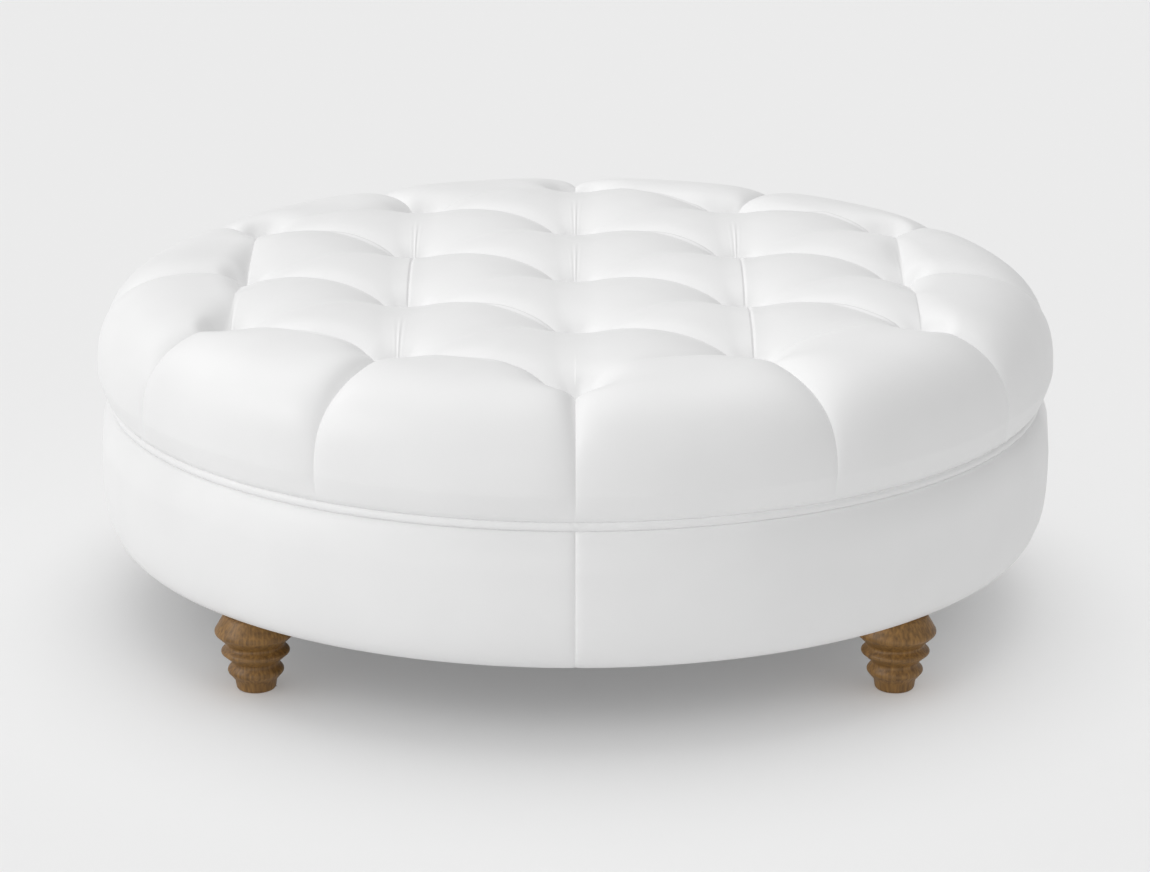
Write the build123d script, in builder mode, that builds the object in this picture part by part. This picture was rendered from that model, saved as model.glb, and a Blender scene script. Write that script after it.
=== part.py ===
from build123d import *
from math import asin, atan, cos, degrees, radians, sin, sqrt, tan
import os

# A round upholstered ottoman that serves as a coffee table: a plywood drum on four turned legs,
# with a padded side, a corded seam and a deep tufted cushion on top.
# Millimetres, +Z up. The origin is on the floor under the middle, and the front faces -Y.

# Driving sizes
overall_diameter = 1196.0  # the cushion at its fullest
seam_height = 266.3  # the middle of the corded seam above the floor
cushion_thickness = 153.3  # from the deck to the cushion's crowns
underside_height = 93.0  # the dust cover above the floor
running_gap = 0.3  # between curved or soft pieces

# Panels and hoop of the drum
panel_thickness = 18.0
overhang = 40.0  # from the panels' edge to the cushion's fullest
hoop_thickness = 3.0

# Ribs, two each way, notched into each other
rib_thickness = 18.0
rib_to_post = 19.7  # from a rib's side to the posts beside its end
rib_end_gap = 12.0  # from a rib's end to the hoop
lap_gap = 0.2  # round each notch

# Posts between the two panels
post_count = 8
post_width = 58.0
post_depth = 30.0

# Blocks that the legs screw into
block_width = 110.0
block_depth = 96.0
block_height = 30.0

# Legs
leg_count = 4
leg_in = 25.5  # from the panels' edge to the middle of a leg
foot_radius = 23.0
foot_collar_radius = 24.8
foot_collar_height = 12.4
ring_heights = (24.0, 47.6, 71.6)  # the rims of the three rings, above the floor
ring_radii = (34.6, 42.2, 49.0)
valley_heights = (34.0, 55.2)  # the necks between the rings
valley_radii = (26.7, 31.7)
leg_top_radius = 36.0

# Screws with a thread at each end, from a leg up into its block
screw_radius = 4.0
screw_in_leg = 38.0
screw_in_block = 22.0
screw_sides = 8
bore_spare = 3.0  # each bore runs this much past the screw's end

# Dust cover and padded side
dust_cover_thickness = 1.0
dust_cover_gap = 4.5  # from the legs to the dust cover's edge
hem_thickness = 2.0
hem_overlap = 13.0  # how far the side covers are turned in over the dust cover's edge
side_in = 3.0  # from the cushion's fullest to the padded side's
side_bulge_height = 213.0  # where the side is fullest
side_edge_in = 40.0  # how far the side draws in from there to the hem
side_edge_power = 2.7  # a superellipse, fuller than an ellipse's 2
side_edge_facets = 3
side_pinch = 14.5  # how far the side draws in below the seam
side_pinch_facets = 2

# Corded seam
cord_radius = 5.4
cord_sides = 6
cord_in = 22.4  # from the cushion's fullest to the middle of the cord
flange_thickness = 1.6  # the cord's flange, stapled to the edge of the deck

# Cushion
fill_depth = 75.0  # fibre filling, from the foam up to the pillows' crowns
foam_in = 12.0  # from the deck's edge to the foam
crease_depth = 13.63  # from a pillow's crown to the middle of its creases
pillow_overlap = 5.0  # how far each pillow's dome runs past its tufts
pillow_sides = 12
pillow_facets = 3
pillow_flat_radius = 14.0
roll_below_crown = 2.5  # the outer rolls' crowns below the pillows' crowns
roll_radius = 110.0  # the outer rolls' section
pleat_depth = 26.4  # how much slimmer a roll is at its pleats than in its middle
roll_overlap = 15.0  # how far each roll runs past its pleats
roll_facets = 5
roll_sides = 18
cushion_foot_in = 15.5  # how far the cushion draws in above the cord
cushion_foot_rise = 36.0
cushion_foot_facets = 2

# Tufts
tuft_rings = 2
tuft_in = 122.0  # from the cushion's edge to the outermost tufts
tuft_floor = 2.0  # cover left between a tuft's bottom and the foam
tuft_radii = (100.0, 46.0, 13.0, 4.0)  # a tuft's flare, throat and hole, from its mouth down
tuft_rises = (21.0, 28.0, 26.0)  # from each of those to the next
tuft_sides = 12
fold_count = 6  # the pattern of tufts repeats this many times round

# Tufting twine, with four flat sides to keep it light
twine_radius = 1.5
twine_sides = 4
twine_tail = 5.0  # below the deck
foam_hole_radius = 2.0
deck_hole_radius = 3.0

overrun = 40.0  # cutters run this much past what they cut

# Levels and radii that follow
overall_radius = overall_diameter / 2
deck_radius = overall_radius - overhang
leg_circle_radius = deck_radius - leg_in
dust_cover_radius = leg_circle_radius - leg_top_radius - dust_cover_gap
hem_inner_radius = dust_cover_radius - hem_overlap
foam_radius = deck_radius - foam_in
side_radius = overall_radius - side_in
tuft_spacing = (overall_radius - tuft_in) / tuft_rings
hem_bottom = underside_height + dust_cover_thickness
base_bottom = hem_bottom + hem_thickness
base_top = base_bottom + panel_thickness
block_top = base_top + block_height
screw_bottom = hem_bottom - screw_in_leg
screw_top = base_top + screw_in_block
deck_top = seam_height + cord_radius
deck_bottom = deck_top - panel_thickness
frame_height = deck_bottom - base_top
cushion_height = deck_top + cushion_thickness
foam_top = cushion_height - fill_depth
side_top = seam_height - cord_radius - 2 * running_gap
cord_circle_radius = overall_radius - cord_in
side_inner_radius = deck_radius + running_gap
roll_middle_height = cushion_height - roll_below_crown - roll_radius
frame_limit = deck_radius - hoop_thickness - running_gap  # how far out the frame reaches
screw_clearance = screw_radius + running_gap
first_leg_angle = 180 / leg_count
first_post_angle = 180 / post_count
wedge_angle = 180 / fold_count


def leg_places():
    """Where the legs stand, between the front, the sides and the back."""
    return PolarLocations(leg_circle_radius, leg_count, start_angle=first_leg_angle)


def screw_holes(bottom, top):
    """Cuts a clearance hole for each leg's screw through the part being built."""
    with BuildSketch(Plane.XY.offset(bottom)) as holes:
        with leg_places():
            RegularPolygon(screw_clearance, screw_sides)
    extrude(holes.sketch, amount=top - bottom, mode=Mode.SUBTRACT)


def upright_plane(angle):
    """An upright plane through the middle: its x runs outwards at this angle, its y upwards."""
    turn = radians(angle)
    return Plane(origin=(0, 0, 0), x_dir=(cos(turn), sin(turn), 0), z_dir=(sin(turn), -cos(turn), 0))


def inside_hoop(width):
    """How far out the flat outer face of a piece of this width stands inside the hoop."""
    return sqrt(frame_limit**2 - (width / 2) ** 2)


def chords(full_radius, full_height, drawn_in, rise, facets):
    """Points along an arc that starts upright at full_radius and ends drawn in, after its rise.

    A negative rise leads downwards.
    """
    length = abs(rise)
    arc_radius = (drawn_in**2 + length**2) / (2 * drawn_in)
    turn = asin(length / arc_radius)
    points = []
    for step in range(facets + 1):
        angle = turn * step / facets
        up = arc_radius * sin(angle) * rise / length
        points.append((full_radius - arc_radius * (1 - cos(angle)), full_height + up))
    return points


def tuft_points():
    """The tufts, on a triangular lattice in a hexagon with corners at the front and back."""
    points = []
    for column in range(-tuft_rings, tuft_rings + 1):
        rows = 2 * tuft_rings + 1 - abs(column)
        x = column * tuft_spacing * cos(radians(wedge_angle))
        for row in range(rows):
            points.append((x, (row - (rows - 1) / 2) * tuft_spacing))
    return points


def pillow_points():
    """The middles of the lattice's triangles between the front pleat and the next one round."""
    half_row = tuft_spacing / 2
    step = half_row / sqrt(3)
    return [(step, -half_row), (2 * step, -2 * half_row), (step, -3 * half_row)]


# Turned legs: three rings that taper towards a plain foot, bored for the screws
with BuildPart() as turned_legs:
    with BuildSketch(Plane.XZ, mode=Mode.PRIVATE) as leg_profile:
        with BuildLine():
            Polyline(
                (0, 0),
                (foot_radius, 0),
                (foot_collar_radius, foot_collar_height),
                (ring_radii[0], ring_heights[0]),
                (valley_radii[0], valley_heights[0]),
                (ring_radii[1], ring_heights[1]),
                (valley_radii[1], valley_heights[1]),
                (ring_radii[2], ring_heights[2]),
                (leg_top_radius, hem_bottom),
                (0, hem_bottom),
                close=True,
            )
        make_face()
    one_leg = revolve(leg_profile.sketch, axis=Axis.Z, mode=Mode.PRIVATE)
    with leg_places():
        add(one_leg)
    screw_holes(screw_bottom - bore_spare, hem_bottom)
turned_legs.part.label = "turned_legs"

# Leg screws
with BuildPart() as leg_screws:
    with BuildSketch(Plane.XY.offset(screw_bottom)):
        with leg_places():
            RegularPolygon(screw_radius, screw_sides)
    extrude(amount=screw_top - screw_bottom)
leg_screws.part.label = "leg_screws"

# Dust cover, stretched over the underside inside the legs
with BuildPart() as dust_cover:
    with BuildSketch(Plane.XY.offset(underside_height)):
        Circle(dust_cover_radius)
    extrude(amount=dust_cover_thickness)
dust_cover.part.label = "dust_cover"

# Base panel, bored for the leg screws
with BuildPart() as base_panel:
    with BuildSketch(Plane.XY.offset(base_bottom)):
        Circle(deck_radius)
    extrude(amount=panel_thickness)
    screw_holes(base_bottom, base_top)
base_panel.part.label = "base_panel"

# Leg blocks on the base panel, their outer faces against the hoop
leg_blocks = []
block_centre_radius = inside_hoop(block_width) - block_depth / 2
for number, name in enumerate(("back_right", "back_left", "front_left", "front_right")):
    with BuildPart() as leg_block:
        with BuildSketch(Plane.XY.offset(base_top)):
            with PolarLocations(block_centre_radius, 1, start_angle=(2 * number + 1) * first_leg_angle):
                Rectangle(block_depth, block_width)
        extrude(amount=block_height)
        screw_holes(base_top, screw_top + bore_spare)
    leg_block.part.label = f"{name}_leg_block"
    leg_blocks.append(leg_block.part)

# Posts between the panels, on both sides of each rib's end
frame_posts = []
post_centre_radius = inside_hoop(post_width) - post_depth / 2
for number in range(post_count):
    with BuildPart() as frame_post:
        with BuildSketch(Plane.XY.offset(base_top)):
            with PolarLocations(post_centre_radius, 1, start_angle=(2 * number + 1) * first_post_angle):
                Rectangle(post_depth, post_width)
        extrude(amount=frame_height)
    frame_post.part.label = f"frame_post_{number + 1}"
    frame_posts.append(frame_post.part)

# Ribs: the two that run across are notched from above, the two that run back from below
post_turn = radians(first_post_angle)
post_side = post_centre_radius * sin(post_turn) - (post_width * cos(post_turn) + post_depth * sin(post_turn)) / 2
rib_offset = post_side - rib_to_post - rib_thickness / 2
rib_half_length = inside_hoop(2 * rib_offset + rib_thickness) - rib_end_gap
notch_width = rib_thickness + lap_gap
notch_depth = (frame_height + lap_gap) / 2
ribs = []
for name, runs_across, side in (
    ("front_rib", True, -1),
    ("back_rib", True, 1),
    ("left_rib", False, -1),
    ("right_rib", False, 1),
):
    with BuildPart() as rib:
        with BuildSketch(Plane.XY.offset(base_top)):
            if runs_across:
                with Locations((0, side * rib_offset)):
                    Rectangle(2 * rib_half_length, rib_thickness)
            else:
                with Locations((side * rib_offset, 0)):
                    Rectangle(rib_thickness, 2 * rib_half_length)
        extrude(amount=frame_height)
        notch_bottom = deck_bottom - notch_depth if runs_across else base_top
        with BuildSketch(Plane.XY.offset(notch_bottom)):
            with GridLocations(2 * rib_offset, 2 * rib_offset, 2, 2):
                Rectangle(notch_width, notch_width)
        extrude(amount=notch_depth, mode=Mode.SUBTRACT)
    rib.part.label = name
    ribs.append(rib.part)

# Hoop of thin board, bent round the frame between the panels
with BuildPart() as side_hoop:
    with BuildSketch(Plane.XY.offset(base_top)):
        Circle(deck_radius)
        Circle(deck_radius - hoop_thickness, mode=Mode.SUBTRACT)
    extrude(amount=frame_height)
side_hoop.part.label = "side_hoop"

# Deck panel, drilled for the twine of every tuft
with BuildPart() as deck_panel:
    with BuildSketch(Plane.XY.offset(deck_bottom)):
        Circle(deck_radius)
        with Locations(*tuft_points()):
            RegularPolygon(deck_hole_radius, twine_sides, mode=Mode.SUBTRACT)
    extrude(amount=panel_thickness)
deck_panel.part.label = "deck_panel"

# Seat foam on the deck
with BuildPart() as seat_foam:
    with BuildSketch(Plane.XY.offset(deck_top)):
        Circle(foam_radius)
        with Locations(*tuft_points()):
            RegularPolygon(foam_hole_radius, twine_sides, mode=Mode.SUBTRACT)
    extrude(amount=foam_top - deck_top)
seat_foam.part.label = "seat_foam"

# Twines that pull the tufts down, through the foam and the deck
with BuildPart() as tufting_twines:
    with BuildSketch(Plane.XY.offset(deck_bottom - twine_tail)):
        with Locations(*tuft_points()):
            RegularPolygon(twine_radius, twine_sides)
    extrude(amount=foam_top - deck_bottom + twine_tail)
tufting_twines.part.label = "tufting_twines"

# One pillow: a dome of tapered rings that follows a sphere
crease_radius = tuft_spacing / (2 * sqrt(3))
pillow_radius = (crease_radius**2 + crease_depth**2) / (2 * crease_depth)
pillow_base_radius = 2 * crease_radius + pillow_overlap
pillow_middle = cushion_height - pillow_radius
base_turn = asin(pillow_base_radius / pillow_radius)
flat_turn = asin(pillow_flat_radius / pillow_radius)
with BuildPart() as pillow:
    with BuildSketch(Plane.XY.offset(deck_top)):
        RegularPolygon(pillow_base_radius, pillow_sides)
    extrude(amount=pillow_middle + pillow_radius * cos(base_turn) - deck_top)
    for ring in range(pillow_facets):
        low = base_turn + (flat_turn - base_turn) * ring / pillow_facets
        high = base_turn + (flat_turn - base_turn) * (ring + 1) / pillow_facets
        rise = pillow_radius * (cos(high) - cos(low))
        inwards = pillow_radius * (sin(low) - sin(high)) * cos(radians(180 / pillow_sides))
        with BuildSketch(Plane.XY.offset(pillow_middle + pillow_radius * cos(low))):
            RegularPolygon(pillow_radius * sin(low), pillow_sides)
        extrude(amount=rise, taper=degrees(atan(inwards / rise)))

# Outer roll of the cushion: tapered lengths that follow an arc, thickest in the middle
pleat_half_length = overall_radius * tan(radians(wedge_angle / 2))
roll_crown_radius = (pleat_half_length**2 + pleat_depth**2) / (2 * pleat_depth)
facet_length = 2 * (pleat_half_length + roll_overlap) / roll_facets


def roll_radius_at(along):
    """The roll's radius at a distance along its axis from its middle."""
    return roll_radius - roll_crown_radius + sqrt(roll_crown_radius**2 - along**2)


with BuildPart() as outer_roll:
    with BuildSketch():
        RegularPolygon(roll_radius_at(facet_length / 2), roll_sides)
    extrude(amount=facet_length / 2)
    for facet in range(roll_facets // 2):
        near = facet_length * (facet + 0.5)
        inwards = (roll_radius_at(near) - roll_radius_at(near + facet_length)) * cos(radians(180 / roll_sides))
        with BuildSketch(Plane.XY.offset(near)):
            RegularPolygon(roll_radius_at(near), roll_sides)
        extrude(amount=facet_length, taper=degrees(atan(inwards / facet_length)))
    mirror(about=Plane.XY)
roll_plane = upright_plane(-90 + wedge_angle / 2)
roll_middle = roll_plane.from_local_coords((overall_radius - roll_radius, roll_middle_height, 0))
roll_place = Plane(origin=roll_middle, x_dir=roll_plane.x_dir, z_dir=roll_plane.z_dir)

# Cutter for one tuft, pointing up: a flare that narrows into a throat and a hole
with BuildPart() as tuft_cutter:
    level = 0
    for wide, narrow, rise in zip(tuft_radii, tuft_radii[1:], tuft_rises):
        inwards = (wide - narrow) * cos(radians(180 / tuft_sides))
        with BuildSketch(Plane.XY.offset(level)):
            RegularPolygon(wide, tuft_sides)
        extrude(amount=rise, taper=degrees(atan(inwards / rise)))
        level += rise
tuft_mouth_height = foam_top + tuft_floor + sum(tuft_rises)
tuft_places = [Location((x, y, tuft_mouth_height), (180, 0, 0)) for x, y in tuft_points()]

# Outline that the cushion keeps within: seated on the deck, drawn in above the cord
foot_outline = chords(
    overall_radius, deck_top + cushion_foot_rise, cushion_foot_in, -cushion_foot_rise, cushion_foot_facets
)
with BuildPart() as cushion_outline:
    with BuildSketch(Plane.XZ):
        with BuildLine():
            Polyline(
                *foot_outline,
                (0, deck_top),
                (0, cushion_height + overrun),
                (overall_radius, cushion_height + overrun),
                close=True,
            )
        make_face()
    revolve(axis=Axis.Z)

# One twelfth of the cushion, from the front pleat to the next one round
with BuildPart() as cushion_wedge:
    with Locations(*pillow_points()):
        add(pillow.part)
    with Locations(roll_place.location):
        add(outer_roll.part)
    with BuildSketch():
        with BuildLine():
            Polyline(
                (0, 0),
                (0, -overall_diameter),
                (overall_diameter * sin(radians(wedge_angle)), -overall_diameter * cos(radians(wedge_angle))),
                close=True,
            )
        make_face()
    extrude(amount=cushion_height + overrun, mode=Mode.INTERSECT)
    add(cushion_outline.part, mode=Mode.INTERSECT)
    with Locations(*tuft_places):
        add(tuft_cutter.part, mode=Mode.SUBTRACT)

# The sewn cushion cover with its fibre filling: pillows between the tufts, pleated rolls round them
with BuildPart() as cushion_sixth:
    add(cushion_wedge.part)
    mirror(about=Plane.YZ)
with BuildPart() as tufted_cover:
    with PolarLocations(0, fold_count):
        add(cushion_sixth.part)
    with BuildSketch(Plane.XY.offset(deck_top)):
        Circle(foam_radius + running_gap)
    extrude(amount=foam_top - deck_top, mode=Mode.SUBTRACT)
tufted_cover.part.label = "tufted_cover"

# Welt: a covered cord in the seam, its flange against the edge of the deck
with BuildPart() as welt_cord:
    with BuildSketch(Plane.XZ):
        with Locations((cord_circle_radius, seam_height - running_gap)):
            RegularPolygon(cord_radius, cord_sides, rotation=180 / cord_sides)
        with Locations((cord_circle_radius, seam_height - running_gap)):
            Rectangle(cord_circle_radius - side_inner_radius, flange_thickness, align=(Align.MAX, Align.CENTER))
    revolve(axis=Axis.Z)
welt_cord.part.label = "welt_cord"

# Padded side covers, sewn together at the front and the back
pinch_outline = chords(
    side_radius, side_bulge_height, side_pinch, side_top - side_bulge_height, side_pinch_facets
)
edge_outline = []
for step in range(side_edge_facets + 1):
    turn = radians(90 * step / side_edge_facets)
    inwards = side_edge_in * (1 - cos(turn) ** (2 / side_edge_power))
    drop = (side_bulge_height - hem_bottom) * sin(turn) ** (2 / side_edge_power)
    edge_outline.append((side_radius - inwards, side_bulge_height - drop))
side_covers = []
for name, start_angle in (("side_cover_right", -90), ("side_cover_left", 90)):
    with BuildPart() as side_cover:
        with BuildSketch(upright_plane(start_angle)):
            with BuildLine():
                Polyline(
                    *edge_outline[1:],
                    (hem_inner_radius, hem_bottom),
                    (hem_inner_radius, base_bottom),
                    (side_inner_radius, base_bottom),
                    (side_inner_radius, side_top),
                    *reversed(pinch_outline),
                    close=True,
                )
            make_face()
        revolve(axis=Axis.Z, revolution_arc=180)
        screw_holes(hem_bottom, base_bottom)
    side_cover.part.label = name
    side_covers.append(side_cover.part)

single_parts = [
    turned_legs.part,
    leg_screws.part,
    dust_cover.part,
    base_panel.part,
    side_hoop.part,
    deck_panel.part,
    seat_foam.part,
    tufting_twines.part,
    tufted_cover.part,
    welt_cord.part,
]
os.makedirs("parts", exist_ok=True)
for piece in single_parts + leg_blocks + frame_posts + ribs + side_covers:
    export_step(piece, f"parts/{piece.label}.step")
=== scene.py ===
import bmesh
import bpy
import itertools
import math
import numpy as np
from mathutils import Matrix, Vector


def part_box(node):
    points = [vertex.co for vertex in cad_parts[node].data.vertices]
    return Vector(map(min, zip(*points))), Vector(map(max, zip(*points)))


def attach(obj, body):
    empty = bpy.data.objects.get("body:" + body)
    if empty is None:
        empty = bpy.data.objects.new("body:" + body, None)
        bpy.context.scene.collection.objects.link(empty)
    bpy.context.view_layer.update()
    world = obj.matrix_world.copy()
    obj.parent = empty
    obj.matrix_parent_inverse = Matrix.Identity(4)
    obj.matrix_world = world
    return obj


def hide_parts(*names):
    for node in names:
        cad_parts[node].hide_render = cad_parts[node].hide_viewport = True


# The dressed model of a round tufted ottoman on turned legs. Metres, +Z up, the front faces -Y.

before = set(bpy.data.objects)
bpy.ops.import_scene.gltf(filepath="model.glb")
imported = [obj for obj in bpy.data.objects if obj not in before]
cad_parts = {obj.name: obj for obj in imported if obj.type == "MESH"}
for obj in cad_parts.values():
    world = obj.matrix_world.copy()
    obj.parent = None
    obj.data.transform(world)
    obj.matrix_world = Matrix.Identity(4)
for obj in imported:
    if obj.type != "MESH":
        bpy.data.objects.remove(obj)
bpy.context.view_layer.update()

# Sizes read from the frame
deck_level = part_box("deck_panel")[1].z
foam_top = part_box("seat_foam")[1].z
foam_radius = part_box("seat_foam")[1].x
deck_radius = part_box("deck_panel")[1].x
base_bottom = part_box("base_panel")[0].z
dust_cover_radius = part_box("dust_cover")[1].x
leg_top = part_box("turned_legs")[1].z
side_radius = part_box("side_cover_right")[1].x
seam_low, seam_high = (corner.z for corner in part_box("welt_cord"))
cord_radius = (seam_high - seam_low) / 2
seam_level = (seam_high + seam_low) / 2
cord_circle_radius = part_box("welt_cord")[1].x - cord_radius
running_gap = 0.0003  # between soft pieces and what they lie on

# Camera, at the photograph's viewing angle
image_width = 1150
lens_pixels = 3729
sensor_width = 36.0
camera_place = (-0.0005, -4.501, 1.573)
camera_pitch = 17.02  # degrees below level
camera_data = bpy.data.cameras.new("camera")
camera_data.sensor_width = sensor_width
camera_data.lens = lens_pixels / image_width * sensor_width
camera = bpy.data.objects.new("camera", camera_data)
camera.location = camera_place
camera.rotation_euler = (math.radians(90 - camera_pitch), 0, 0)
bpy.context.scene.collection.objects.link(camera)
bpy.context.scene.camera = camera


def mesh_piece(name, vertices, faces):
    """A smooth mesh object that rides on the only body."""
    mesh = bpy.data.meshes.new(name)
    mesh.from_pydata([tuple(v) for v in vertices], [], [tuple(f) for f in faces])
    mesh.validate()
    shape = bmesh.new()
    shape.from_mesh(mesh)
    bmesh.ops.remove_doubles(shape, verts=shape.verts, dist=1e-5)
    bmesh.ops.recalc_face_normals(shape, faces=shape.faces)
    shape.to_mesh(mesh)
    shape.free()
    mesh.polygons.foreach_set("use_smooth", [True] * len(mesh.polygons))
    piece = bpy.data.objects.new(name, mesh)
    bpy.context.scene.collection.objects.link(piece)
    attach(piece, "root")
    return piece


# Node materials
ramp_places = (0.3, 0.7)


def new_material(name):
    """A material with its principled shader, as (material, nodes, links, shader)."""
    material = bpy.data.materials.new(name)
    material.use_nodes = True
    nodes = material.node_tree.nodes
    links = material.node_tree.links
    return material, nodes, links, nodes["Principled BSDF"]


def grey(tone):
    """A neutral colour."""
    return (tone, tone, tone)


def object_noise(nodes, links, scale, detail=4.0, stretch=(1, 1, 1)):
    """Noise in object space, as its factor socket."""
    place = nodes.new("ShaderNodeTexCoord")
    mapping = nodes.new("ShaderNodeMapping")
    mapping.inputs["Scale"].default_value = stretch
    noise = nodes.new("ShaderNodeTexNoise")
    noise.inputs["Scale"].default_value = scale
    noise.inputs["Detail"].default_value = detail
    links.new(place.outputs["Object"], mapping.inputs["Vector"])
    links.new(mapping.outputs["Vector"], noise.inputs["Vector"])
    return noise.outputs["Fac"]


def ramp(nodes, links, factor, low, high):
    """Colours over a factor, from one to the other, as the colour socket."""
    node = nodes.new("ShaderNodeValToRGB")
    for element, place, colour in zip(node.color_ramp.elements, ramp_places, (low, high)):
        element.position = place
        element.color = (*colour, 1)
    links.new(factor, node.inputs["Fac"])
    return node.outputs["Color"]


def add_bump(nodes, links, shader, height, strength, distance):
    """A bump node on the shader's normal."""
    bump = nodes.new("ShaderNodeBump")
    bump.inputs["Strength"].default_value = strength
    bump.inputs["Distance"].default_value = distance
    links.new(height, bump.inputs["Height"])
    links.new(bump.outputs["Normal"], shader.inputs["Normal"])


def leather_material():
    """Smooth white leather: faint cloudy tone, fine pebble grain, soft sheen."""
    material, nodes, links, shader = new_material("white_leather")
    cloud = object_noise(nodes, links, 5.0, 3.0)
    tone = ramp(nodes, links, cloud, grey(0.80), grey(0.84))
    links.new(tone, shader.inputs["Base Color"])
    rough = ramp(nodes, links, object_noise(nodes, links, 40.0), grey(0.41), grey(0.49))
    links.new(rough, shader.inputs["Roughness"])
    shader.inputs["Specular IOR Level"].default_value = 0.32
    place = nodes.new("ShaderNodeTexCoord")
    cells = nodes.new("ShaderNodeTexVoronoi")
    cells.inputs["Scale"].default_value = 900
    links.new(place.outputs["Object"], cells.inputs["Vector"])
    add_bump(nodes, links, shader, cells.outputs["Distance"], 0.10, 0.0004)
    return material


def wood_material(name, dark, light, rough, stretch, scale):
    """Wood, with its grain along the axis that is stretched least."""
    material, nodes, links, shader = new_material(name)
    grain = object_noise(nodes, links, scale, 8.0, stretch)
    links.new(ramp(nodes, links, grain, dark, light), shader.inputs["Base Color"])
    shader.inputs["Roughness"].default_value = rough
    add_bump(nodes, links, shader, grain, 0.25, 0.0006)
    return material


def plain_cloth(name, dark, light, rough, scale):
    """Woven cloth of one tone with a fine cross weave."""
    material, nodes, links, shader = new_material(name)
    tone = ramp(nodes, links, object_noise(nodes, links, 30.0), dark, light)
    links.new(tone, shader.inputs["Base Color"])
    shader.inputs["Roughness"].default_value = rough
    place = nodes.new("ShaderNodeTexCoord")
    wave_x = nodes.new("ShaderNodeTexWave")
    wave_y = nodes.new("ShaderNodeTexWave")
    wave_y.bands_direction = "Y"
    weave = nodes.new("ShaderNodeMath")
    weave.operation = "ADD"
    for number, wave in enumerate((wave_x, wave_y)):
        wave.inputs["Scale"].default_value = scale
        links.new(place.outputs["Object"], wave.inputs["Vector"])
        links.new(wave.outputs["Fac"], weave.inputs[number])
    add_bump(nodes, links, shader, weave.outputs["Value"], 0.3, 0.0004)
    return material


def steel_material():
    """Plated steel, faintly brushed."""
    material, nodes, links, shader = new_material("plated_steel")
    shader.inputs["Metallic"].default_value = 1.0
    brushed = object_noise(nodes, links, 8.0, 4.0, (30, 30, 2))
    tone = ramp(nodes, links, brushed, (0.50, 0.50, 0.52), (0.62, 0.62, 0.64))
    links.new(tone, shader.inputs["Base Color"])
    shader.inputs["Roughness"].default_value = 0.35
    add_bump(nodes, links, shader, brushed, 0.1, 0.0002)
    return material


# Sizes of the cushion
cushion_radius = 0.5945
cushion_bulge = 0.3066  # the level at which it is fullest
cushion_crown = 0.425
tuft_rings = 2
tuft_spacing = 0.238
row_height = tuft_spacing * math.cos(math.radians(30))
pillow_radius = 0.260  # the round of a pillow

# Outer rolls, numbered from the front pleat round by the right
roll_count = 12
roll_angle = 360 / roll_count
first_sharp_roll = 10  # this one and the next lie in front of a deep crease
roll_crown = 0.4180
roll_lean = 0.003  # how much higher the rolls are at the front, and lower at the back
roll_crown_radius = 0.455  # the ring on which the outer rolls are highest
roll_inner_reach = 0.062  # from that ring in to where a roll would be upright
roll_power = 2.55  # of the superellipse that a roll's section follows
roll_share_limit = 0.999  # of a roll's reach, kept short of its upright edge

# Pleats between the rolls
pleat_drops = (0.09, 0.163)  # shares by which a roll is lower there, at the back and at the front
pleat_pinch = 0.035  # share by which it is narrower there
pleat_round = 5.5
pleat_sharp_round = 9.0  # on the sharp rolls
pleat_shoulder = (0.0045, 0.006)  # depth and width of a pleat's groove over the shoulder
pleat_side = (0.0016, 0.003)  # and down the side
pleat_shoulder_drop = 0.03  # below the rolls' crown, where the groove is at its full depth
pleat_low_rise = 0.05  # above the deck, where the groove begins to fade downwards
pleat_start = 0.03  # how far from the hexagon of tufts the groove takes to form
seam_puckers = (97, 143, 211)  # waves round the cushion at the seam
seam_pucker_depth = 0.00025
seam_pucker_rise = 0.014

# Tufts
tuft_floor = 0.353
tuft_depth = 0.078
tuft_width = 0.034  # how far from a tuft its pit has mostly risen
roll_tuft_width = 0.022  # the same on the rolls at the left and right
roll_tuft_sides = (0.866, 0.90)  # cosines from straight left or right, where this begins
tuft_wrinkle = (0.0007, 9, 2.3, 0.028)  # height, count, turn from tuft to tuft, reach
tuft_wrinkle_start = (0.004, 0.016)
pit_blend = 0.010
pit_end = (0.50, 0.58)  # distances from the middle over which the pits fade out on the rolls

# Foot of the cushion
foot_radius = 0.5825  # where it meets the cord
foot_power = 1.25
foot_crease = 0.003  # how far it is drawn in further, just above the cord
foot_crease_start = 0.8  # share of the way down

# Crease families: the deep ones run to the front on the right, the soft ones to the back
deep_angle, soft_angle, column_angle = -30, 30, 90
soft_blend = 0.006
deep_depth = 0.011
deep_front_width, deep_back_width = 0.006, 0.012
deep_ends = (-0.10, 0.16, 0.84, 1.10)
deep_blend, column_blend = 0.003, 0.016
side_reach = 0.022  # how far in from the hexagon's sides the pillows and rolls bend to meet
side_sharp_reach = 0.010  # on the sharp rolls
side_sharp_start = 0.15  # share of a sharp roll over which its reach shortens from the end
pillow_bend_power, roll_bend_power = 1.5, 1.3

# Rows of the mesh
triangle_rows = 96
cluster = 1.35
roll_rows = 110
roll_cluster = 1.1
foot_rows = 16

# Folds of leather that lie in the creases, as (height, half width, offset) across the crease
lip = (0.0036, 0.0026, -0.0115)
lip_weak_share = 0.3
lip_turn = (0.65, 0.78)  # share by which a lip nears its crease, and where it begins to
roll_lip_places = (-0.022, -0.013)  # its offsets on a roll, where it starts and where it ends
roll_lip_way = (0.35, 0.70)
fan = (0.0007, 0.0085, 0.0085)  # the last is the spacing of its ridges
fan_spread = (0.35, 1.3)  # its share of these at the tuft, and how that grows along the crease
slit = (0.003, 0.0013, -0.0016)
fold_start = (0.006, 0.016)  # distances from a tuft over which folds begin

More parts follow.
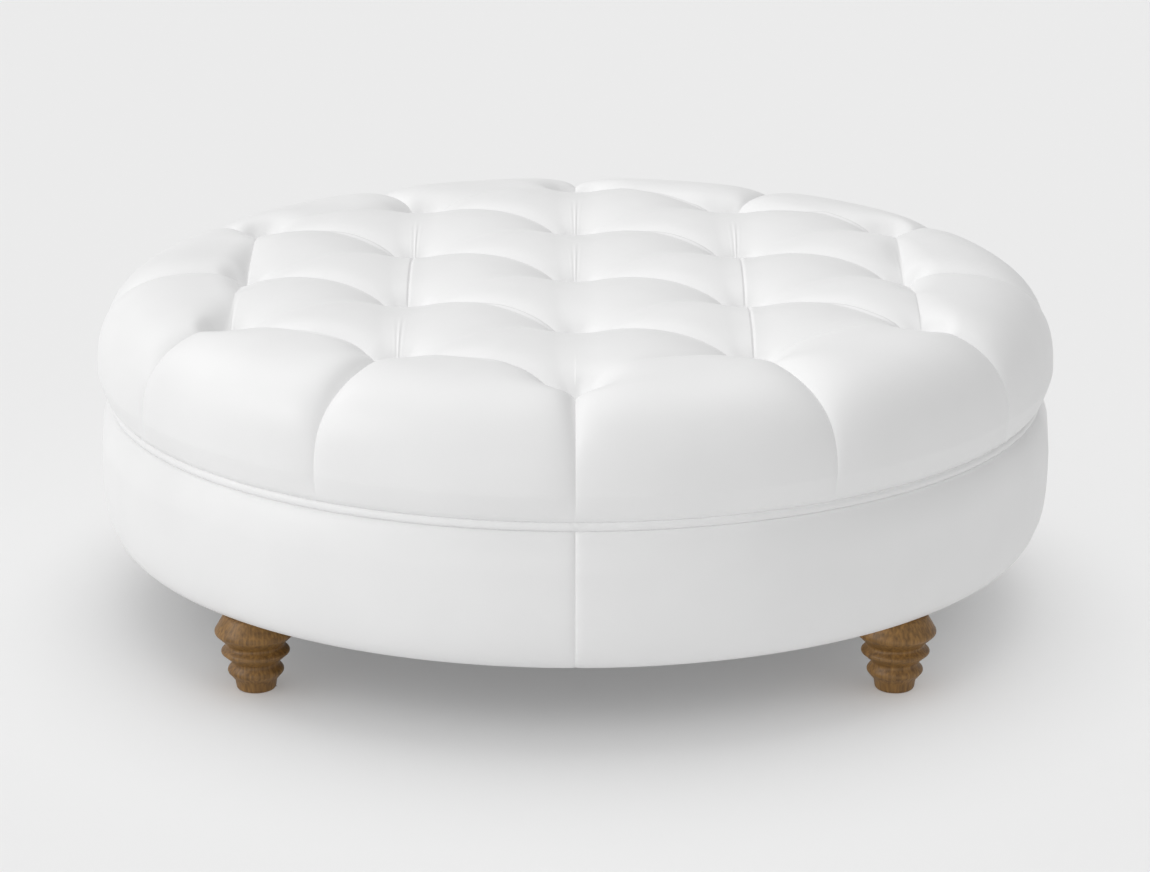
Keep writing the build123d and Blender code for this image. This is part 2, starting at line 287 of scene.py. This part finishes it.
# Where along a crease each fold rises and fades, as shares of the way between two tufts
lip_ends = (0.40, 0.66, 0.93, 0.985)
fan_ends = (0.03, 0.12, 0.15, 0.50)
slit_ends = (0.03, 0.15, 0.70, 0.95)

# Tufts that the folds leave, as column and half rows
lip_tufts = ((0, -4), (0, -2), (1, 1), (1, 3), (-1, -3), (-1, 1), (2, -2), (2, 2), (-2, 0))
fan_tufts = ((0, 0), (0, 2), (1, 1), (-1, -3), (-1, 1), (2, 0), (-2, -2))
slit_tufts = ((1, -1), (1, -3), (-1, -1), (-2, 0), (2, -2))


def tuft_points():
    """The plan places of the tufts, a hexagon of the lattice with corners at the front and back."""
    points = []
    for column in range(-tuft_rings, tuft_rings + 1):
        rows = 2 * tuft_rings + 1 - abs(column)
        for row in range(rows):
            points.append((column * row_height, (row - (rows - 1) / 2) * tuft_spacing))
    return np.array(points)


def lattice_triangles():
    """Corner places of the twenty-four triangles between the tufts."""
    triangles = []
    for corners in itertools.combinations(tuft_points(), 3):
        sides = [np.linalg.norm(a - b) for a, b in itertools.combinations(corners, 2)]
        if max(sides) < tuft_spacing * 1.05:
            triangles.append(np.array(corners))
    return triangles


def smooth_max(a, b, width):
    """The larger of two heights, rounded where they meet."""
    mix = np.clip(0.5 + 0.5 * (a - b) / width, 0, 1)
    return b + (a - b) * mix + width * mix * (1 - mix)


def smooth_min(a, b, width):
    """The smaller of two heights, rounded where they meet."""
    return -smooth_max(-a, -b, width)


def smooth_step(low, high, value):
    """0 below low, 1 above high, eased between."""
    t = np.clip((value - low) / (high - low), 0, 1)
    return t * t * (3 - 2 * t)


def between(ends, value):
    """0, eased up to 1 over the first two ends and back to 0 over the last two."""
    return smooth_step(ends[0], ends[1], value) * (1 - smooth_step(ends[2], ends[3], value))


def directions(angle):
    """Unit vectors along an angle in degrees and across it, to the left."""
    turn = math.radians(angle)
    return np.array([math.cos(turn), math.sin(turn)]), np.array([-math.sin(turn), math.cos(turn)])


def line_family(points, angle):
    """Signed distance to a family's nearest crease, and the share of the way between its tufts."""
    along, across = (points @ direction for direction in directions(angle))
    row = np.round(across / row_height)
    distance = across - row * row_height
    share = (along / tuft_spacing + row / 2) % 1.0
    return distance, share


def at_tufts(points, tufts, angle):
    """1 beside the crease that leaves a listed tuft at an angle, up to the next tuft, else 0.

    Each tuft is given as column and half rows.
    """
    total = np.zeros(len(points))
    for column, half in tufts:
        offset = points - np.array([column * row_height, half * tuft_spacing / 2])
        along, across = (offset @ direction for direction in directions(angle))
        beside = np.abs(across) < row_height / 4
        total[(along >= 0) & (along <= tuft_spacing) & beside] = 1
    return total


def dome(points, centre):
    """Height of a pillow's ball over a plan point, and far below it outside the ball."""
    gap = pillow_radius**2 - ((points - centre) ** 2).sum(axis=1)
    return cushion_crown - pillow_radius + np.sqrt(np.maximum(gap, 1e-6))


def pillow_heights(points):
    """Heights of the pillows over plan points: domes, in pairs that share a soft crease."""
    centres = [corners.mean(axis=0) for corners in lattice_triangles()]
    heights = [dome(points, centre) for centre in centres]
    turn = math.radians(soft_angle + 90)
    across = np.array([math.cos(turn), math.sin(turn)])
    step = tuft_spacing / math.sqrt(3)
    best = np.full(len(points), -1.0)
    second = best
    used = set()
    for i, centre in enumerate(centres):
        if i in used:
            continue
        used.add(i)
        joined = heights[i]
        for j, other in enumerate(centres):
            apart = other - centre
            lengths = (np.linalg.norm(apart), abs(apart @ across))
            if j not in used and all(abs(length - step) < 1e-3 for length in lengths):
                used.add(j)
                joined = smooth_max(heights[i], heights[j], soft_blend)
                break
        second = np.maximum(second, np.minimum(best, joined))
        best = np.maximum(best, joined)
    deep, _ = line_family(points, deep_angle)
    column, _ = line_family(points, column_angle)
    share = deep**2 / (deep**2 + column**2 + 1e-9)
    return smooth_max(best, second, deep_blend + (column_blend - deep_blend) * share)


def pits(points, pit_width=tuft_width):
    """Highest level that the nearest tuft allows, and how far away it is."""
    offsets = points[:, None, :] - tuft_points()[None, :, :]
    squares = (offsets**2).sum(axis=2)
    nearest = squares.argmin(axis=1)
    away = np.sqrt(squares.min(axis=1))
    offset = offsets[np.arange(len(points)), nearest]
    turn = np.arctan2(offset[:, 1], offset[:, 0])
    height, count, phase, reach = tuft_wrinkle
    wrinkle = height * np.cos(count * turn + phase * nearest) * np.exp(-away / reach)
    wrinkle = wrinkle * smooth_step(*tuft_wrinkle_start, away)
    return tuft_floor + tuft_depth * (1 - np.exp(-away / pit_width)) + wrinkle, away


def folds(points, on_roll=False):
    """Height that the folds of leather add along the creases."""
    deep, deep_share = line_family(points, deep_angle)
    column, column_share = line_family(points, column_angle)
    height, width, offset = lip
    strong = lip_weak_share + (1 - lip_weak_share) * at_tufts(points, lip_tufts, deep_angle + 180)
    if on_roll:
        start, end = roll_lip_places
        place = start + (end - start) * smooth_step(*roll_lip_way, deep_share)
    else:
        nearer, turn_start = lip_turn
        place = offset * (1 - nearer * smooth_step(turn_start, 1.0, deep_share))
    ridge = np.exp(-(((deep - place) / width) ** 2))
    total = strong * height * between(lip_ends, deep_share) * ridge
    height, width, spacing = fan
    strong = at_tufts(points, fan_tufts, column_angle)
    spread = fan_spread[0] + fan_spread[1] * column_share
    ridges = np.cos(2 * math.pi * column / (spacing * spread))
    ridges = ridges * np.exp(-((column / (width * spread)) ** 2))
    total += strong * height * between(fan_ends, column_share) * ridges
    height, width, offset = slit
    strong = at_tufts(points, slit_tufts, column_angle)
    groove = np.exp(-(((column - offset) / width) ** 2))
    return total - strong * height * between(slit_ends, column_share) * groove


def creased(points, heights):
    """Creases and the tufts' pits over the plain pillows."""
    deep, share = line_family(points, deep_angle)
    front = np.exp(-((deep / deep_front_width) ** 2))
    back = np.exp(-np.abs(deep) / deep_back_width)
    heights = heights - deep_depth * between(deep_ends, share) * np.where(deep < 0, front, back)
    limit, away = pits(points)
    return smooth_min(heights, limit, pit_blend) + folds(points) * smooth_step(*fold_start, away)


def pleat_factor(turn):
    """0 in the middle of an outer roll and 1 at its pleats, for directions in degrees."""
    way = np.abs(((turn + 90) / roll_angle) % 1.0 - 0.5) * 2
    sharp = (turn + 90) % 360 >= first_sharp_roll * roll_angle
    return np.where(sharp, way**pleat_sharp_round, way**pleat_round)


def roll_section(turn):
    """A roll's inner and outer reach from its crown ring, and its height over the bulge's level."""
    factor = pleat_factor(turn)
    narrow = 1 - pleat_pinch * factor
    front = -np.sin(np.radians(turn))
    drop = pleat_drops[0] + (pleat_drops[1] - pleat_drops[0]) * (1 + front) / 2
    rise = (roll_crown + roll_lean * front - cushion_bulge) * (1 - drop * factor)
    return roll_inner_reach * narrow, (cushion_radius - roll_crown_radius) * narrow, rise


def reach_share(radius, inner, outer):
    """Share of the way from a roll's crown ring to its upright edge, inwards or outwards."""
    reach = np.where(radius < roll_crown_radius, inner, outer)
    return np.clip(np.abs(radius - roll_crown_radius) / reach, 0, roll_share_limit)


def roll_heights(points):
    """Level of the outer rolls over plan points near their crowns."""
    inner, outer, rise = roll_section(np.degrees(np.arctan2(points[:, 1], points[:, 0])))
    share = reach_share(np.hypot(points[:, 0], points[:, 1]), inner, outer)
    return cushion_bulge + rise * (1 - share**roll_power) ** (1 / roll_power)


def hexagon_sides():
    """Start and end of each side of the hexagon of outer tufts, and whether it is a soft crease."""
    corners = [
        tuft_rings * tuft_spacing * np.array([math.cos(math.radians(a)), math.sin(math.radians(a))])
        for a in range(-90, 271, 60)
    ]
    sides = []
    for start, end in zip(corners, corners[1:]):
        angle = math.degrees(math.atan2(end[1] - start[1], end[0] - start[0])) % 180
        sides.append((start, end, abs(angle - soft_angle) < 1))
    return sides


def joined_at_sides(points):
    """Heights of the pillows, bent near the hexagon's sides towards the rolls that they meet."""
    nearest = np.full(len(points), 1e9)
    shift = np.zeros(len(points))
    for start, end, soft in hexagon_sides():
        length = np.linalg.norm(end - start)
        way = (end - start) / length
        foot = start + np.clip((points - start) @ way, 0, length)[:, None] * way
        distance = np.linalg.norm(points - foot, axis=1)
        pillows = pillow_heights(foot)
        rolls = roll_heights(foot)
        level = smooth_max(pillows, rolls, soft_blend) if soft else np.minimum(pillows, rolls)
        change = (level - pillows) * np.exp(-((distance / side_reach) ** pillow_bend_power))
        shift = np.where(distance < nearest, change, shift)
        nearest = np.minimum(nearest, distance)
    return pillow_heights(points) + shift


def warped(shares):
    """Shares drawn towards the edges, so that rows lie close together at the creases."""
    powered = shares**cluster
    return powered / powered.sum(axis=1, keepdims=True)


def triangle_patch(corners):
    """Plan points and faces of one triangle between three tufts."""
    index = {}
    shares = []
    for i in range(triangle_rows + 1):
        for j in range(triangle_rows + 1 - i):
            index[i, j] = len(shares)
            shares.append((i, j, triangle_rows - i - j))
    points = warped(np.array(shares, float) / triangle_rows) @ corners
    faces = []
    for i in range(triangle_rows):
        for j in range(triangle_rows - i):
            faces.append((index[i, j], index[i + 1, j], index[i, j + 1]))
            if i + j < triangle_rows - 1:
                faces.append((index[i + 1, j], index[i + 1, j + 1], index[i, j + 1]))
    side = corners[1] - corners[0]
    other = corners[2] - corners[0]
    if side[0] * other[1] - side[1] * other[0] < 0:
        faces = [f[::-1] for f in faces]
    return points, faces


def patch_faces(rows, columns, offset):
    """Faces of a grid of points."""
    faces = []
    for row in range(rows - 1):
        for column in range(columns - 1):
            a = offset + row * columns + column
            faces.append((a, a + columns, a + columns + 1, a + 1))
    return faces


def roll_edge(number):
    """Plan points along the hexagon of tufts where an outer roll begins, from pleat to pleat."""
    reaches = (tuft_rings * tuft_spacing, tuft_rings * row_height)
    if number % 2:
        reaches = reaches[::-1]
    turns = [math.radians(-90 + roll_angle * (number + end)) for end in (0, 1)]
    ends = np.array([(r * math.cos(t), r * math.sin(t)) for r, t in zip(reaches, turns)])
    shares = np.array([(triangle_rows - i, i) for i in range(triangle_rows + 1)], float)
    return warped(shares / triangle_rows) @ ends


def roll_foot(last, out):
    """Points from a roll's last row down to the seam, drawn in towards the cord."""
    radius = np.hypot(last[:, 0], last[:, 1])
    foot = []
    for row in range(1, foot_rows + 1):
        way = row / foot_rows
        crease = foot_crease * smooth_step(foot_crease_start, 1.0, way)
        drawn = radius - (radius - foot_radius) * way**foot_power - crease
        level = last[:, 2] + (deck_level - last[:, 2]) * way
        foot.append(np.column_stack([out * drawn[:, None], level]))
    return np.array(foot)


def roll_patch(number):
    """Points of one outer roll, from the hexagon of tufts over the shoulder down to the seam."""
    edge = roll_edge(number)
    edge_radius = np.hypot(edge[:, 0], edge[:, 1])
    out = edge / edge_radius[:, None]
    inner, outer, rise = roll_section(np.degrees(np.arctan2(edge[:, 1], edge[:, 0])))
    inside = edge_radius < roll_crown_radius
    share = reach_share(edge_radius, inner, outer)
    first_angle = np.arccos(np.where(inside, -1, 1) * share ** (roll_power / 2))
    rows = []
    for row in range(roll_rows + 1):
        angle = first_angle * (1 - (row / roll_rows) ** roll_cluster)
        cosine = np.cos(angle)
        across = np.sign(cosine) * np.abs(cosine) ** (2 / roll_power)
        radius = roll_crown_radius + np.where(cosine < 0, inner, outer) * across
        level = cushion_bulge + rise * np.sin(angle) ** (2 / roll_power)
        rows.append(np.column_stack([out * radius[:, None], level]))
    points = np.array(rows)

    # Towards the hexagon the roll bends to the pillows and dips into the tufts' pits
    joined = joined_at_sides(edge)
    edge_level = creased(edge, joined)
    soft = hexagon_sides()[number // 2][2]
    room = np.maximum(roll_crown_radius - edge_radius, 1e-6)
    way_round = np.arange(triangle_rows + 1) / triangle_rows
    sharp_ways = {first_sharp_roll: way_round, first_sharp_roll + 1: 1 - way_round}
    sharp = smooth_step(0, side_sharp_start, sharp_ways.get(number, 0 * way_round))
    reach = side_reach + (side_sharp_reach - side_reach) * sharp
    at_side = smooth_step(*roll_tuft_sides, np.abs(out[:, 0]))
    pit_width = tuft_width + (roll_tuft_width - tuft_width) * at_side
    for row in range(roll_rows + 1):
        plan = points[row, :, :2]
        radius = np.hypot(plan[:, 0], plan[:, 1])
        level = points[row, :, 2]
        if soft:
            way = (radius - edge_radius) / room
            rising = np.sin(math.pi / 2 * np.clip(way, 0, 1))
            bridge = joined + (cushion_bulge + rise - joined) * rising
            level = np.where(inside & (way < 1), bridge, level)
        elif number >= first_sharp_roll:
            level = level + folds(plan, True)
        limit, _ = pits(plan, pit_width)
        held = 1 - smooth_step(*pit_end, radius)
        pitted = level + (smooth_min(level, limit, pit_blend) - level) * held
        if row == 0:
            own_level = pitted
        away = np.linalg.norm(plan - edge, axis=1)
        bend = np.exp(-((away / reach) ** roll_bend_power))
        points[row, :, 2] = pitted + (edge_level - own_level) * bend
    return np.concatenate([points, roll_foot(points[-1], out)])


def pleat_depth(points):
    """How far the surface is drawn in at the pleats, and puckered at the seam."""
    radius = np.hypot(points[:, 0], points[:, 1])
    turn = np.arctan2(points[:, 1], points[:, 0]) + math.pi / 2
    spacing = math.radians(roll_angle)
    distance = radius * np.abs(np.sin(turn - np.round(turn / spacing) * spacing))
    high = smooth_step(cushion_bulge, roll_crown - pleat_shoulder_drop, points[:, 2])
    low = smooth_step(deck_level, deck_level + pleat_low_rise, points[:, 2])
    depth = pleat_side[0] * low + (pleat_shoulder[0] - pleat_side[0]) * high
    width = pleat_side[1] + (pleat_shoulder[1] - pleat_side[1]) * high
    pucker = sum(np.sin(count * turn + phase) for phase, count in enumerate(seam_puckers))
    near_seam = 1 - smooth_step(deck_level, deck_level + seam_pucker_rise, points[:, 2])
    return depth * np.exp(-distance / width) + seam_pucker_depth * (pucker + 2) * near_seam


def build_cushion():
    """The sewn cover over its filling, as one closed form with a pocket for the foam."""
    pocket_radius = foam_radius + running_gap
    pocket_top = foam_top + running_gap
    vertices = []
    faces = []
    for corners in lattice_triangles():
        points, patch = triangle_patch(corners)
        faces.extend(tuple(len(vertices) + i for i in f) for f in patch)
        levels = creased(points, joined_at_sides(points))
        vertices.extend(np.column_stack([points, levels]))
    for number in range(roll_count):
        points = roll_patch(number)
        rows, columns, _ = points.shape
        flat = points.reshape(-1, 3)
        radius = np.hypot(flat[:, 0], flat[:, 1])
        inwards = pleat_depth(flat)
        edge = np.tile(flat[:columns, :2], (rows, 1))
        inwards *= smooth_step(0.0, pleat_start, np.linalg.norm(flat[:, :2] - edge, axis=1))
        upwards = smooth_step(cushion_bulge, roll_crown, flat[:, 2])
        flat[:, :2] *= (1 - inwards * (1 - upwards) / radius)[:, None]
        flat[:, 2] -= inwards * upwards
        faces.extend(patch_faces(rows, columns, len(vertices)))
        vertices.extend(flat)
        last = flat[-columns:]
        out = last[:, :2] / np.hypot(last[:, 0], last[:, 1])[:, None]
        under = [last]
        pocket = ((pocket_radius, deck_level), (pocket_radius, pocket_top), (0, pocket_top))
        for radius, level in pocket:
            under.append(np.column_stack([out * radius, np.full(columns, level)]))
        faces.extend(patch_faces(len(under), columns, len(vertices)))
        vertices.extend(np.concatenate(under))
    return mesh_piece("tufted_cushion", vertices, faces)


leather = leather_material()
cushion = build_cushion()
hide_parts("tufted_cover")
cushion.data.materials.append(leather)


def ring_piece(name, profile, first_angle, turn, columns, drawn_in):
    """A closed form swept round the middle, with its columns closer together at its ends.

    profile is a closed outline of radius and level, and drawn_in says how far a point is drawn in.
    """
    whole = turn == 360
    angles = []
    for i in range(columns if whole else columns + 1):
        share = i / columns
        if not whole:
            cosine = math.cos(math.pi * share)
            share = 0.5 - 0.5 * math.copysign(abs(cosine) ** 0.5, cosine)
        angles.append(math.radians(first_angle + turn * share))
    vertices = []
    for angle in angles:
        for radius, level in profile:
            reach = radius - drawn_in(angle, radius, level)
            vertices.append((reach * math.cos(angle), reach * math.sin(angle), level))
    count = len(profile)
    faces = []
    for i in range(columns):
        nxt = (i + 1) % len(angles)
        for j in range(count):
            k = (j + 1) % count
            faces.append((i * count + j, nxt * count + j, nxt * count + k, i * count + k))
    if not whole:
        faces.append(tuple(range(count)))
        faces.append(tuple(columns * count + j for j in reversed(range(count))))
    return mesh_piece(name, vertices, faces)


# Padded side, in two halves that are sewn together at the front and the back
side_bulge = 0.213  # the level at which it is fullest
side_edge_in = 0.0399
side_edge_power = 2.7
side_pinch = 0.0145
side_crease = 0.002  # how far it is drawn in further, just under the cord
side_crease_power = 10
side_columns = 160
hem_overlap = 0.013
hem_radius = dust_cover_radius - hem_overlap
hem_steps, edge_steps, pinch_steps = 8, 32, 14
side_inner_depth = 0.02  # inside the deck's edge, from where the side isn't drawn in
seam_draw = (0.0024, 0.0035)  # depth and width of the seams between the halves
seam_shoulder = (0.0006, 0.012)  # depth and width of the shallow draw beside them
seam_waves = (900, 1470)  # of the puckers up the seams, in radians to the metre
seam_wave_depth = 0.0003


def side_profile():
    """Outline of the side's section, from the hem under the base up to the cord and back inside."""
    hem_width = side_radius - side_edge_in - hem_radius
    points = [(hem_radius + hem_width * i / hem_steps, leg_top) for i in range(hem_steps)]
    for i in range(edge_steps + 1):
        angle = math.radians(90) * (1 - i / edge_steps)
        inwards = side_edge_in * (1 - math.cos(angle) ** (2 / side_edge_power))
        drop = (side_bulge - leg_top) * math.sin(angle) ** (2 / side_edge_power)
        points.append((side_radius - inwards, side_bulge - drop))
    top = seam_low - running_gap
    for i in range(1, pinch_steps + 1):
        way = i / pinch_steps
        inwards = side_pinch * way**2 + side_crease * way**side_crease_power
        points.append((side_radius - inwards, side_bulge + (top - side_bulge) * way))
    inner = deck_radius + running_gap
    return points + [(inner, top), (inner, base_bottom), (hem_radius, base_bottom)]


def side_draw(angle, radius, level):
    """How far the side is drawn in at its two upright seams, with small puckers."""
    if radius < deck_radius - side_inner_depth:
        return 0
    distance = abs(math.cos(angle)) * radius
    pucker = sum(math.sin(level * wave + phase) for phase, wave in enumerate(seam_waves))
    depth, width = seam_draw
    seam = (depth + seam_wave_depth * pucker) * math.exp(-distance / width)
    depth, width = seam_shoulder
    return seam + depth * math.exp(-distance / width) * (1 + pucker / 2)


for name, first_angle in (("side_cover_right", -90), ("side_cover_left", 90)):
    side = ring_piece(name + "_padded", side_profile(), first_angle, 180, side_columns, side_draw)
    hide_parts(name)
    side.data.materials.append(leather)

# Welt: the covered cord and its flange, joined at the front
flange_half = 0.0008  # half its thickness
cord_steps = 20
cord_columns = 1800
cord_slant = 0.8  # of the joint, to the metre of height
cord_swell = (0.0009, 0.006)  # height and half width of the swell at the joint
cord_joint = (0.0014, 0.0012)  # depth and half width of the joint's groove
cord_waves = ((0.00015, 83, 0), (0.0001, 211, 1))  # depth, count and phase of its unevenness


def cord_profile():
    """Outline of the cord's section with the flange towards the middle."""
    inner = deck_radius + running_gap
    first = math.asin(flange_half / cord_radius)
    points = [(inner, seam_level + flange_half), (inner, seam_level - flange_half)]
    for i in range(cord_steps + 1):
        angle = math.pi + first + (2 * math.pi - 2 * first) * i / cord_steps
        radius = cord_circle_radius + cord_radius * math.cos(angle)
        points.append((radius, seam_level + cord_radius * math.sin(angle)))
    return points


def cord_draw(angle, radius, level):
    """How far the cord is drawn in: a swell and groove at its joint, and slight unevenness."""
    if radius < cord_circle_radius - cord_radius:
        return 0
    turn = (angle + math.pi / 2) * cord_circle_radius
    turn += (level - seam_level) * cord_slant
    swell = cord_swell[0] * math.exp(-((turn / cord_swell[1]) ** 2))
    drawn = cord_joint[0] * math.exp(-((turn / cord_joint[1]) ** 2)) - swell
    for depth, count, phase in cord_waves:
        drawn += depth * math.sin(count * angle + phase)
    return drawn


cord = ring_piece("covered_cord", cord_profile(), -180, 360, cord_columns, cord_draw)
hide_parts("welt_cord")
cord.data.materials.append(leather)

# Dust cover, stretched over the underside
dust_rings = 40
dust_spokes = 96
dust_slack = 0.00035
dust_staples = 24
dust_upper_share = -0.2  # of the slack, on the upper face


def build_dust_cover():
    """A thin cloth disc, closed, slightly slack between its staples."""
    low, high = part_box("dust_cover")[0].z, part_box("dust_cover")[1].z
    vertices = []
    for level in (low, high):
        vertices.append((0, 0, level))
        for ring in range(1, dust_rings + 1):
            radius = dust_cover_radius * ring / dust_rings
            for spoke in range(dust_spokes):
                angle = 2 * math.pi * spoke / dust_spokes
                slack = dust_slack * (1 + math.cos(dust_staples * angle))
                slack *= math.sin(math.pi * ring / dust_rings)
                place = level + slack * (1 if level == low else dust_upper_share)
                vertices.append((radius * math.cos(angle), radius * math.sin(angle), place))
    faces = []
    side = 1 + dust_rings * dust_spokes
    for layer in (0, 1):
        base = layer * side
        for spoke in range(dust_spokes):
            nxt = (spoke + 1) % dust_spokes
            loop = [(base, base + 1 + nxt, base + 1 + spoke)]
            for ring in range(dust_rings - 1):
                a = base + 1 + ring * dust_spokes
                loop.append((a + spoke, a + nxt, a + dust_spokes + nxt, a + dust_spokes + spoke))
            faces.extend(f[::-1] if layer else f for f in loop)
    rim = 1 + (dust_rings - 1) * dust_spokes
    for spoke in range(dust_spokes):
        nxt = (spoke + 1) % dust_spokes
        faces.append((rim + spoke, rim + nxt, side + rim + nxt, side + rim + spoke))
    return mesh_piece("dust_cloth_cover", vertices, faces)


dust_cover = build_dust_cover()
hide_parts("dust_cover")
dust_cover.data.materials.append(plain_cloth("dust_cloth", grey(0.03), grey(0.06), 0.95, 900))


# Legs and the frame inside, as in the solids
def dress(node, material):
    """Gives a carried-over solid its material."""
    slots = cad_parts[node].data.materials
    slots.clear()
    slots.append(material)


leg_dark, leg_light = (0.11, 0.053, 0.012), (0.29, 0.150, 0.038)
dress("turned_legs", wood_material("leg_wood", leg_dark, leg_light, 0.5, (60, 60, 2), 5.0))
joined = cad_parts["turned_legs"].modifiers.new("joined", "WELD")
joined.merge_threshold = 1e-5
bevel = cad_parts["turned_legs"].modifiers.new("rounded_rims", "BEVEL")
bevel.width = 0.0038
bevel.segments = 4
bevel.use_clamp_overlap = False
bevel.angle_limit = math.radians(40)

plywood = wood_material("plywood", (0.50, 0.34, 0.19), (0.66, 0.48, 0.29), 0.7, (2, 14, 40), 3.0)
pine = wood_material("frame_pine", (0.58, 0.40, 0.22), (0.76, 0.58, 0.36), 0.65, (3, 12, 12), 4.0)
hardboard = wood_material("hardboard", (0.24, 0.14, 0.07), (0.34, 0.21, 0.11), 0.8, (8, 8, 8), 30.0)
foam = plain_cloth("seat_foam", (0.76, 0.70, 0.50), (0.86, 0.80, 0.60), 0.95, 400)
twine = plain_cloth("waxed_twine", (0.66, 0.62, 0.52), (0.80, 0.77, 0.67), 0.7, 1500)
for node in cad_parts:
    if node.endswith("_rib") or node.endswith("_panel"):
        dress(node, plywood)
    elif node.startswith("frame_post") or node.endswith("_leg_block"):
        dress(node, pine)
dress("side_hoop", hardboard)
dress("seat_foam", foam)
dress("tufting_twines", twine)
dress("leg_screws", steel_material())

# Floor and backdrop
floor_half = 40.0
corners = [(-floor_half, -floor_half, 0), (floor_half, -floor_half, 0)]
corners += [(floor_half, floor_half, 0), (-floor_half, floor_half, 0)]
floor_mesh = bpy.data.meshes.new("floor")
floor_mesh.from_pydata(corners, [], [(0, 1, 2, 3)])
floor = bpy.data.objects.new("floor", floor_mesh)
bpy.context.scene.collection.objects.link(floor)
floor_material, _, _, floor_shader = new_material("floor")
floor_shader.inputs["Base Color"].default_value = (*grey(0.83), 1)
floor_shader.inputs["Roughness"].default_value = 0.9
floor_shader.inputs["Specular IOR Level"].default_value = 0.0
floor_mesh.materials.append(floor_material)

# Light
world = bpy.data.worlds.new("world")
bpy.context.scene.world = world
world.use_nodes = True
background = world.node_tree.nodes["Background"]
background.inputs["Color"].default_value = (*grey(1), 1)
background.inputs["Strength"].default_value = 0.53

# Name, strength, spread in degrees, direction that it shines from, and whether it casts shadows
lamps = (
    ("key", 1.00, 30, (-0.8, -0.25, 0.55), False),
    ("back_key", 0.34, 30, (-0.6, 0.5, 0.62), False),
    ("right_fill", 0.06, 30, (0.75, -0.6, 0.12), False),
    ("front_fill", 0.34, 30, (-0.30, -0.94, 0.05), False),
    ("top_light", 0.72, 50, (0, 0.3, 0.95), True),
)
for name, energy, spread, direction, shadowed in lamps:
    lamp_data = bpy.data.lights.new(name, "SUN")
    lamp_data.energy = energy
    lamp_data.angle = math.radians(spread)
    lamp_data.use_shadow = shadowed
    lamp = bpy.data.objects.new(name, lamp_data)
    lamp.rotation_euler = Vector(direction).to_track_quat("Z", "Y").to_euler()
    bpy.context.scene.collection.objects.link(lamp)

bpy.context.scene.view_settings.view_transform = "Standard"
